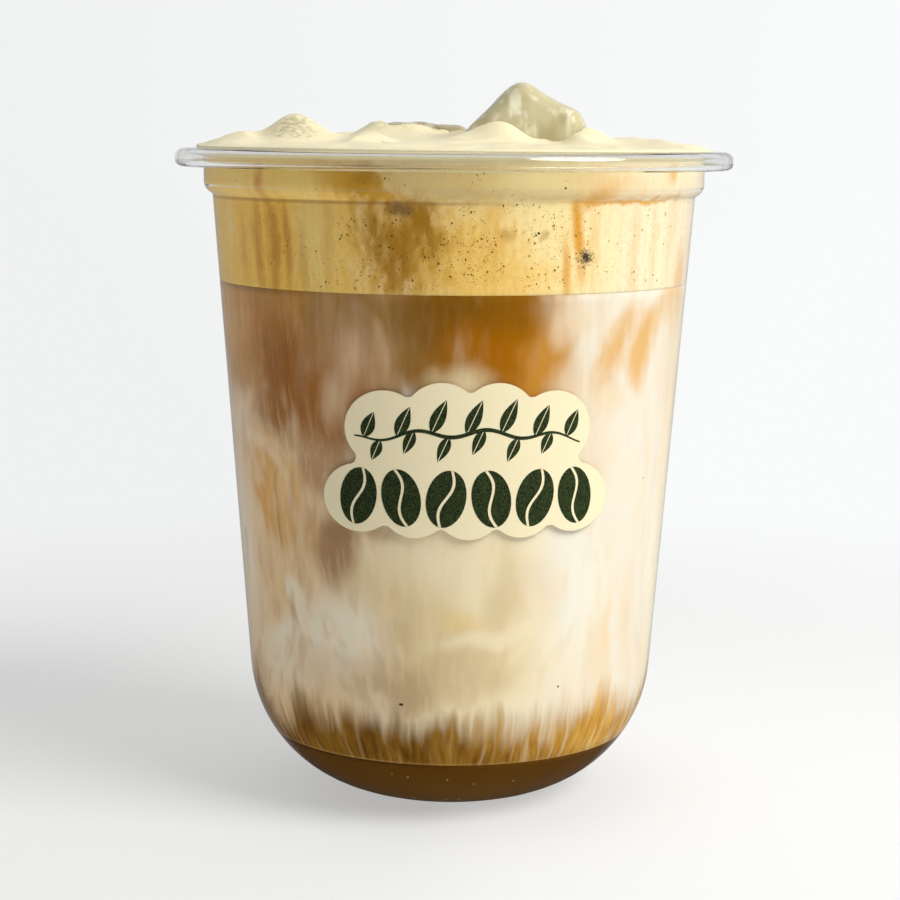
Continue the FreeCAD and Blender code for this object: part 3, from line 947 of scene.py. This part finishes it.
STEP_HEIGHT = 0.1031  # where the wall steps out to the neck
CREAM_PLUMES = (  # laid out as the milk coffee's
    # Cream painted whiter down the lit right edge: partly cream, partly painted glare.
    (84, 97, 10, 40, "milk_painted_glare", 1, 0.6, 0.2),
    (12, 96, 17, 30, "ripe", 1, 0.5, 0.3),
    (-65, 97, 36, 40, "butter", 1, 0.35, 0.2),
    (-33, 97, 4.5, 9, "custard", 0.9, 0.8, 0.7),
    (4, 94, 8, 9, "banana", 1, 0.7, 0.4),
    (14, 91, 7, 3.5, "banana", 0.7, 0.8, 0.5),
    (-11, 97, 6.5, 9, "resin", 0.85, 0.9, 0.6, 5),
    (-7, 100.5, 2.2, 4, "dark_resin", 1, 1, 1.1, 6),
    (-12, 95, 2.4, 4.4, "dark_resin", 0.9, 1, 1.1, 8),
    (-16, 96, 2, 3.4, "dark_resin", 0.6, 0.9, 1.4),
    (-19, 99, 2, 3.4, "dark_resin", 0.5, 0.9, 1.4),
    (12, 98.6, 1, 0.9, "dark_resin", 0.5, 0.9, 0.4),
    (20.5, 98.2, 0.7, 0.7, "dark_resin", 0.5, 0.9, 0.4),
    (28.6, 99, 0.9, 7, "orange_honey", 1, 0.8, 0.3, 8),
    (26.5, 92, 0.8, 5, "orange_honey", 0.8, 0.9, 0.3, 4),
    (9, 97, 2.2, 7, "resin", 0.25, 0.9, 0.9, 4),
    (-51, 97, 1, 7, "streak", 0.75, 0.9, 0.8, 2),
    (-45.5, 96, 1.3, 8, "streak", 0.8, 0.9, 0.8, -2),
    (-41, 97, 0.8, 7, "streak", 0.7, 0.9, 0.8, 2),
    (-57, 95, 1.1, 5, "streak", 0.4, 0.9, 0.8),
    (-36, 93, 0.9, 5, "streak", 0.4, 0.9, 0.8),
    (-29, 97, 0.8, 6, "streak", 0.3, 0.9, 0.8),
    (-64, 99, 1.5, 3, "custard", 0.8, 0.9, 0.5),
    (33, 97, 1, 8, "honey", 0.4, 0.9, 0.8),
    (46, 95, 0.9, 8, "peach", 0.7, 0.9, 0.8),
    (53, 97, 0.8, 7, "peach", 0.6, 0.9, 0.8),
    (61, 97, 1.4, 7, "peach", 0.5, 0.9, 0.8),
    (69, 91, 2.4, 4, "apricot", 0.7, 0.9, 0.6),
    (8, 107, 20, 3, "shoulder", 1, 0.4, 0.1),
    (20, 106.5, 7, 2.6, "pale_shoulder", 0.9, 0.8, 0.2),
    (-23, 106.5, 5.5, 2.8, "resin", 0.95, 0.7, 0.6, -15),
    (-19, 107, 2.2, 2.2, "dark_resin", 0.7, 0.8, 0.6, -20),
    # A small dark mark under the step: painted shade at the right end of the step's line.
    (-11.5, 102, 1.7, 1.2, "step_shade_mark", 0.85, 0.6, 0.2),
    (-17, 104.6, 4, 1, "resin", 0.8, 0.8, 0.3, -14),
    (-50, 106.5, 12, 2.2, "custard", 0.7, 0.8, 0.4),
    (-47, 106, 1, 2.6, "streak", 0.7, 0.9, 0.5),
    (33, 104.6, 3.4, 1.3, "orange_honey", 0.9, 0.8, 0.4, 30),
    (43, 103.6, 11, 0.5, "orange_honey", 0.95, 0.8, 0.3),
    (56, 107.5, 1.2, 1.6, "orange_honey", 0.7, 0.9, 0.3),
    (38, 106, 7, 2, "peach", 0.6, 0.9, 0.6),
)
cream_finish, tree, shader = new_material("banana_cream")
place, flat = wall_place(tree, ((7.0, 1.6, (2.0, 2.0, 2.4)), (2.2, 2.6, (1.0, 1.0, 2.0))))
edges = stretched(tree, place, 1.5, 2.2, 3.0)
# Of these colours, the second is the brown of painted shade under the wall's step.
WICKED, STEP_SHADE_BROWN, CLEAN, ICE_GREY_AND_HOLLOW_SHADE = "#D09A40", "#A87A3C", "#F3E8C2", "#ACA67F"
# The last colour above is the grey of films on ice and of painted shade in a hollow; this share paints
# both.
FILM_SHARE = 0.6  # how far a thin film goes to the grey of the ice under it
colour = "#F9EAC8"
for plume in CREAM_PLUMES:
    colour = pour(tree, flat, edges, colour, plume)
# Coffee wicks up the cream in fine upright threads, and the cream is mottled by its froth.
fine = stretched(tree, place, 0.7, 12.0, 3.0)
froth = stretched(tree, place, 0.8, 1.0, 3.0, 21.0)
worked = node(tree, "Math", [fine, froth], operation="MULTIPLY")
side_only = node(tree, "SeparateXYZ", [flat]).outputs["Y"]
side_only = node(tree, "MapRange", [side_only, 102.5, 103.5, 0.3, 0.1])
worked = node(tree, "Math", [worked, side_only], operation="MULTIPLY")
colour = blend_colours(tree, worked, colour, WICKED, blend_type="MULTIPLY")
# Under the step of the wall a thin brown line of painted shade lies on the cream, on the shaded left.
raw = node(tree, "SeparateXYZ", [node(tree, "TexCoord").outputs["Object"]])
off_step = node(tree, "Math", [raw.outputs["Z"], STEP_HEIGHT], operation="SUBTRACT")
off_step = node(tree, "Math", [off_step], operation="ABSOLUTE")
painted_step_shade = node(tree, "MapRange", [off_step, 0.1 * MM, 0.5 * MM, 0.55, 0], **SMOOTH)
shaded_side = node(tree, "MapRange", [raw.outputs["X"], 12 * MM, -6 * MM])
painted_step_shade = node(tree, "Math", [painted_step_shade, shaded_side], operation="MULTIPLY")
colour = blend_colours(tree, painted_step_shade, colour, STEP_SHADE_BROWN)
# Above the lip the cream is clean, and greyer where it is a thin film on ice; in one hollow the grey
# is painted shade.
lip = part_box("cup")[1].z
above = node(tree, "MapRange", [raw.outputs["Z"], lip - 2.2 * MM, lip - 0.6 * MM])
colour = blend_colours(tree, above, colour, CLEAN)
thin = node(tree, "Attribute", attribute_name="film")
patchy = stretched(tree, place, 1.0, 1.0, 4.0, 77.0)
thin = node(tree, "Math", [thin.outputs["Fac"], patchy], operation="MULTIPLY")
thin = node(tree, "MapRange", [thin, 0.25, 0.8, 0.0, FILM_SHARE])
colour = blend_colours(tree, thin, colour, ICE_GREY_AND_HOLLOW_SHADE)
wetness = node(tree, "MapRange", [thin, 0.0, FILM_SHARE, 0.42, 0.16])
creamy = {"Subsurface Weight": 0.2, "Subsurface Radius": (1.6 * MM, 1.2 * MM, 0.7 * MM)}
soft = {**creamy, "Subsurface Scale": 1.0, "Specular IOR Level": 0.2}
plug(tree, shader, {"Base Color": colour, "Roughness": wetness, **soft})

cream = mesh_object("banana_cream", vertices, faces, cream_finish)
attribute = cream.data.attributes.new("film", "FLOAT", "POINT")
attribute.data.foreach_set("value", film)
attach(cream, "root")
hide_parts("cream")
print("cream:", len(cream.data.polygons), "faces,", len(tree.nodes), "nodes")

# %% [markdown]
# ## Flecks of spice
# Ground cinnamon and vanilla seeds float up into the cream and lie against the wall. They are
# 0.1 to 0.3 mm across, thickest round the front of the band. Each is a small uneven grain, and
# all of them are one mesh. A seed keeps the random draws the same on every run.

# %% grains on the wall
SPICE_SEED = 11
SPICE_GRAINS = 3000


def on_wall(angle, height):
    """A point on the drink's side, its outward direction and the sideways direction."""
    turn = math.radians(angle)
    out = Vector((math.sin(turn), -math.cos(turn), 0))
    spot = out * (inside_radius(height) + INTO_WALL) + Vector((0, 0, height))
    return spot, out, Vector((math.cos(turn), math.sin(turn), 0))


def grain_shape(rows, dice, spot, out, across, wide, tall, thick):
    """Adds one uneven grain, flattened against the wall, to a list of corners and faces."""
    vertices, faces = rows
    ball = bmesh.new()
    bmesh.ops.create_icosphere(ball, subdivisions=1, radius=1.0)
    start = len(vertices)
    up = out.cross(across)
    for corner in ball.verts:
        size = 1 + dice.uniform(-0.25, 0.25)
        vertices.append(
            spot + across * corner.co.x * wide * size + up * corner.co.y * tall * size
            + out * corner.co.z * thick
        )
    faces += [tuple(start + v.index for v in face.verts) for face in ball.faces]
    ball.free()


def grainy(name, dark, pale, rough=0.5):
    """The brown of ground spice, mottled grain by grain."""
    material, tree, shader = new_material(name)
    place = node(tree, "TexCoord").outputs["Object"]
    each = node(tree, "TexNoise", {"Vector": place, "Scale": 1 / (1.1 * MM), "Detail": 0.0})
    share = node(tree, "MapRange", [each, 0.35, 0.65])
    tone = blend_colours(tree, share, dark, pale)
    plug(tree, shader, {"Base Color": tone, "Roughness": rough, "Specular IOR Level": 0.2})
    return material


dice = random.Random(SPICE_SEED)
rows = ([], [])
band_low, band_high = cream_low.z + 0.5 * MM, cream_low.z + 19 * MM
while len(rows[1]) < SPICE_GRAINS * 20:
    angle = dice.uniform(-180, 180)
    front = min(abs(angle), 180 - abs(angle)) if abs(angle) > 90 else abs(angle)
    height = dice.uniform(band_low, band_high)
    if dice.random() > math.exp(-((front / 30) ** 2)) + 0.08:
        continue
    if noise.noise(Vector((angle / 6, height / MM / 4, 0.5))) < dice.uniform(-0.35, 0.2):
        continue
    if height > STEP_HEIGHT and dice.random() > 0.3:
        continue
    size = 0.5 * MM * (0.10 + 0.24 * dice.random() ** 7)
    spot, out, across = on_wall(angle, height)
    grain_shape(rows, dice, spot, out, across, size, size * dice.uniform(0.8, 1.5), 0.04 * MM)
spice = mesh_object("spice_grains", *rows, grainy("ground_spice", "#5A3606", "#B07A26"))
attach(spice, "root")
print("spice:", SPICE_GRAINS, "grains,", len(spice.data.polygons), "faces")

# %% [markdown]
# ## A burst of vanilla and the bubbles in the syrup
# One clump of seeds has burst against the wall, with thin rays round a dark core. Low in the
# syrup a few bubbles cling to the bowl, painted pale as highlights of the light they catch.

# %% splash and bubbles
BURST_ANGLE = 31.0
BURST_HEIGHT = 0.0949
BURST_RAYS = 260
rows = ([], [])
for grain in range(BURST_RAYS):
    turn = dice.uniform(0, TAU)
    far = abs(dice.gauss(0, 0.9))
    down = 1.25 if math.sin(turn) < 0 else 0.85
    height = BURST_HEIGHT + far * math.sin(turn) * down * MM
    angle = BURST_ANGLE + math.degrees(far * math.cos(turn) * MM / inside_radius(height))
    spot, out, across = on_wall(angle, height)
    ray = Matrix.Rotation(turn, 3, out) @ across
    long, thin = dice.uniform(0.08, 0.24) * MM, dice.uniform(0.03, 0.08) * MM
    grain_shape(rows, dice, spot, out, ray, long, thin, 0.03 * MM)
for angle, height, wide, tall in (
    (30.9, 95.1, 0.42, 0.5),
    (31.6, 94.7, 0.16, 0.6),
    (57, 101.2, 0.10, 0.5),
    (51, 90.6, 0.12, 0.3),
    (-13, 22.2, 0.42, 0.24),
    (30.5, 24.5, 0.18, 0.2),
    (58, 57.5, 0.15, 0.2),
    (19, 98.6, 0.22, 0.22),
    (24, 105.6, 0.22, 0.18),
):
    spot, out, across = on_wall(angle, height * MM)
    grain_shape(rows, dice, spot, out, across, wide * MM, tall * MM, 0.05 * MM)
splash = mesh_object("vanilla_burst", *rows, grainy("vanilla_seeds", "#3A301E", "#6A5A3C"))
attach(splash, "root")

rows = ([], [])
for bubble in range(30):
    angle = dice.gauss(-4, 9) if bubble < 20 else dice.uniform(-60, 200)
    height = dice.uniform(2.6, 3.6) if bubble < 20 else dice.uniform(3.5, 9.5)
    spot, out, across = on_wall(angle, height * MM)
    size = dice.uniform(0.05, 0.14) * MM
    grain_shape(rows, dice, spot, out, across, size * 1.7, size, 0.05 * MM)
bubbles = mesh_object("syrup_bubbles", *rows, grainy("bubble_highlight_paint", "#E8DCC0", "#FFF8E4", 0.2))
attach(bubbles, "root")
print("burst:", len(splash.data.polygons), "faces; bubbles:", len(bubbles.data.polygons))

# %% [markdown]
# ## The sticker
# A die-cut vinyl sticker with a soft satin face. The plain vinyl is the frame's own solid.

# %% vinyl sticker
vinyl, tree, shader = new_material("satin_vinyl")
place = node(tree, "TexCoord").outputs["Object"]
speck = node(tree, "TexNoise", {"Vector": place, "Scale": 1 / (0.35 * MM), "Detail": 2.0})
tone = blend_colours(tree, speck, "#F0E3BA", "#F8ECC6")
relief = node(tree, "Bump", {"Height": speck, "Strength": 0.15, "Distance": 0.02 * MM})
plug(tree, shader, {"Base Color": tone, "Roughness": 0.45, "Normal": relief})
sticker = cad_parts["sticker"]
sticker.material_slots[0].material = vinyl
print("sticker:", len(sticker.data.polygons), "faces in", vinyl.name)

# %% [markdown]
# ## The print
# The sticker carries a plain kitchen-garden motif in dark green ink: a fine vine with slanting
# leaves, and bold coffee beans under it. Ink is a layer with an edge, so each shape is a thin
# closed slab that follows the curve of the vinyl, found with rays from outside.

# %% ink
INK_OVER = 0.03 * MM
INK_UNDER = -0.03 * MM
STRIP_COLUMNS = 6
sticker_tree = BVHTree.FromObject(sticker, bpy.context.evaluated_depsgraph_get())
label_low, label_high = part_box("sticker")
LABEL_MIDDLE = (label_low.z + label_high.z) / 2
LABEL_RADIUS = inside_radius(LABEL_MIDDLE) + 0.8 * MM
LABEL_TURN = (math.asin(label_low.x / LABEL_RADIUS) + math.asin(label_high.x / LABEL_RADIUS)) / 2


def on_label(u, v, lift):
    """A spot of the print, in mm across and up from the middle, laid on the vinyl."""
    turn = LABEL_TURN + u * MM / LABEL_RADIUS
    out = Vector((math.sin(turn), -math.cos(turn), 0))
    height = LABEL_MIDDLE + v * MM
    hit = sticker_tree.ray_cast(out * 0.06 + Vector((0, 0, height)), -out)[0]
    return hit + out * lift


def ink_strip(rows, left, right):
    """A thin closed slab of ink between two lines of (u, v) points."""
    vertices, faces = rows
    start, tall, wide = len(vertices), len(left), STRIP_COLUMNS
    for lift in (INK_OVER, INK_UNDER):
        for (ul, vl), (ur, vr) in zip(left, right):
            for column in range(wide + 1):
                t = column / wide
                vertices.append(on_label(ul + (ur - ul) * t, vl + (vr - vl) * t, lift))
    across = wide + 1
    layer = tall * across
    for row in range(tall - 1):
        for column in range(wide):
            a = start + row * across + column
            quad = (a, a + 1, a + across + 1, a + across)
            faces.append(quad)
            faces.append(tuple(layer + v for v in reversed(quad)))
    loop = [start + c for c in range(wide)]
    loop += [start + r * across + wide for r in range(tall - 1)]
    loop += [start + (tall - 1) * across + c for c in range(wide, 0, -1)]
    loop += [start + r * across for r in range(tall - 1, 0, -1)]
    for here, after in zip(loop, loop[1:] + loop[:1]):
        faces.append((after, here, here + layer, after + layer))


def turned_points(points, u, v, lean):
    """Points leant by an angle and moved to their place."""
    c, s = math.cos(math.radians(lean)), math.sin(math.radians(lean))
    return [(u + x * c - y * s, v + x * s + y * c) for x, y in points]


def ink_half(rows, hand, edges, where):
    """Inks the left or right half of a shape between its inner and outer edges."""
    first, second = (turned_points(edge, *where) for edge in edges[::hand])
    ink_strip(rows, first, second)


def bean(rows, u, v, lean, half_wide=3.2, half_tall=4.7, groove=0.5):
    """A coffee bean: two bold halves with an S-shaped groove between them."""
    steps = 18
    for hand in (-1, 1):
        inner, outer = [], []
        for step in range(steps + 1):
            y = half_tall * math.sin(math.pi * (step / steps - 0.5))
            bulge = half_wide * math.sqrt(max(0.0, 1 - (y / half_tall) ** 2))
            seam = 0.75 * math.sin(math.pi * y / half_tall) + hand * groove / 2
            seam = max(-bulge, min(bulge, seam))
            inner.append((seam, y))
            outer.append((hand * bulge, y))
        ink_half(rows, hand, (inner, outer), (u, v, lean))


def leaf(rows, u, v, lean, length, half_wide):
    """A slender leaf that stands on its stalk, split by its midrib."""
    steps = 14
    for hand in (-1, 1):
        rib, edge_line = [], []
        for step in range(steps + 1):
            t = step / steps
            swell = half_wide * math.sin(math.pi * t**0.8) ** 0.9
            rib.append((hand * min(0.07, swell), t * length))
            edge_line.append((hand * max(swell, 0.07 if 0 < t < 1 else 0.0), t * length))
        ink_half(rows, hand, (rib, edge_line), (u, v, lean))


def vine_height(u):
    """The vine's middle line, which rises and falls along the upper row."""
    return 4.6 + 0.6 * math.sin(u * TAU / 11.0) - 0.004 * u * u


ink, tree, shader = new_material("dark_green_ink")
place = node(tree, "TexCoord").outputs["Object"]
mottle = node(tree, "TexNoise", {"Vector": place, "Scale": 1 / (0.3 * MM), "Detail": 3.0})
share = node(tree, "MapRange", [mottle, 0.35, 0.7])
tone = blend_colours(tree, share, "#141D0C", "#3D4E20")
plug(tree, shader, {"Base Color": tone, "Roughness": 0.5, "Specular IOR Level": 0.25})

rows = ([], [])
for number in range(6):
    middle = (number - 2.5) * 7.3
    bean(rows, middle, -6.0, 12 if number % 2 else -12)
beans = mesh_object("printed_beans", *rows, ink, smooth=False)

rows = ([], [])
steps = 90
stem_low, stem_high = [], []
for step in range(steps + 1):
    u = -18.6 + 37.2 * step / steps
    half = 0.28 * math.sin(math.pi * (0.08 + 0.84 * step / steps)) + 0.05
    stem_low.append((u, vine_height(u) - half))
    stem_high.append((u, vine_height(u) + half))
ink_strip(rows, stem_high, stem_low)
for number in range(13):
    u = -17.0 + number * 2.75
    up = number % 2 == 0
    lean = -24 if up else 156
    tall = (6.0 if up else 4.4) * (1 - 0.0009 * u * u)
    leaf(rows, u, vine_height(u), lean, tall, 1.15 if up else 0.95)
vine = mesh_object("printed_vine", *rows, ink, smooth=False)
for piece in (beans, vine):
    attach(piece, "root")
print("print:", len(beans.data.polygons), "and", len(vine.data.polygons), "faces")
